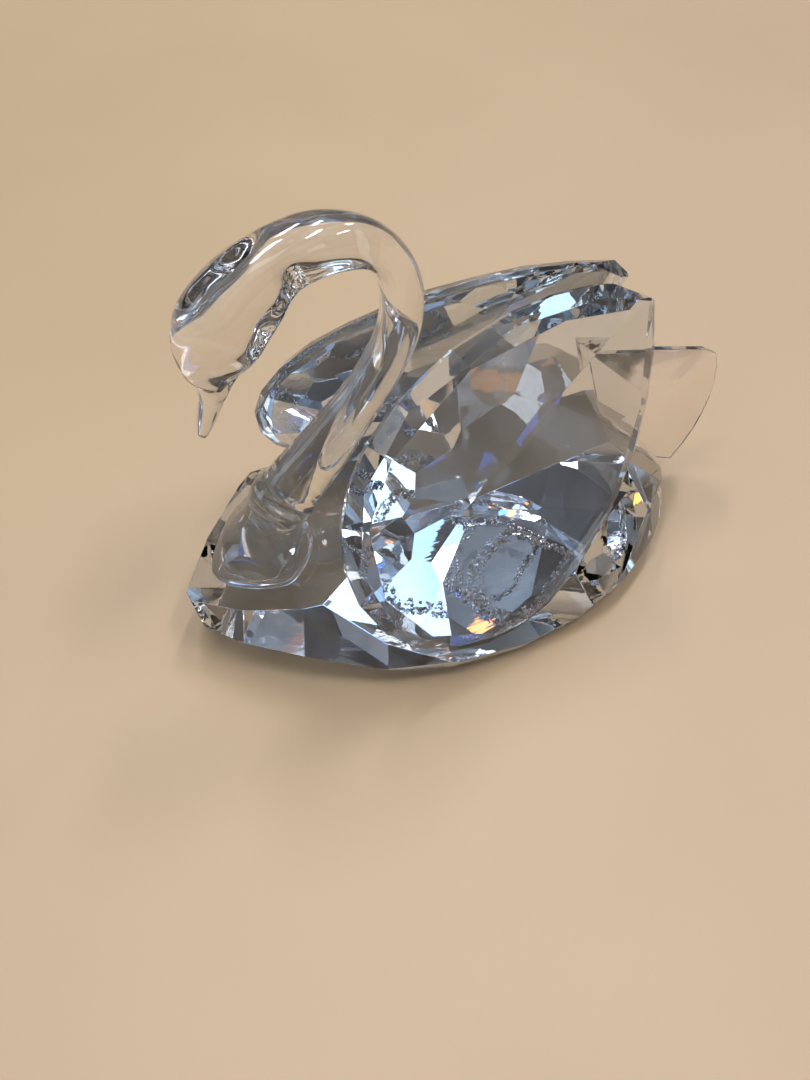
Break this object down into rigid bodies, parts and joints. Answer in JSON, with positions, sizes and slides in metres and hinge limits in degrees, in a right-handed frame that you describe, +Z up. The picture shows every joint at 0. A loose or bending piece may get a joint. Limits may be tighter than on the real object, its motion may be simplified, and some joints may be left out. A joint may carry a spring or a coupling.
{
  "type": "crystal figurine",
  "caption": "Clear cut-crystal swan figurine: faceted boat-shaped body, leaning faceted wings, thin leaf tail and a smooth hand-drawn neck and head, glued together.",
  "frame": {"origin": "under the middle of the swan's bounding box, on the surface that it stands on", "axes": "+Z up, the swan faces -Y, its left side is +X"},
  "size_m": [0.0332, 0.0621, 0.0468],
  "materials": {
    "crystal": "polished cut facets, colourless",
    "drawn_glass": "fire-polished, smooth",
    "glue": "clear cured adhesive, slightly grainy rim"
  },
  "bodies": {
    "root": {"body": "crystal", "left_wing": "crystal", "right_wing": "crystal", "tail": "crystal", "neck_and_head": "drawn_glass", "left_wing_glue": "glue", "right_wing_glue": "glue", "neck_glue": "glue", "tail_glue": "glue"}
  },
  "joints": []
}
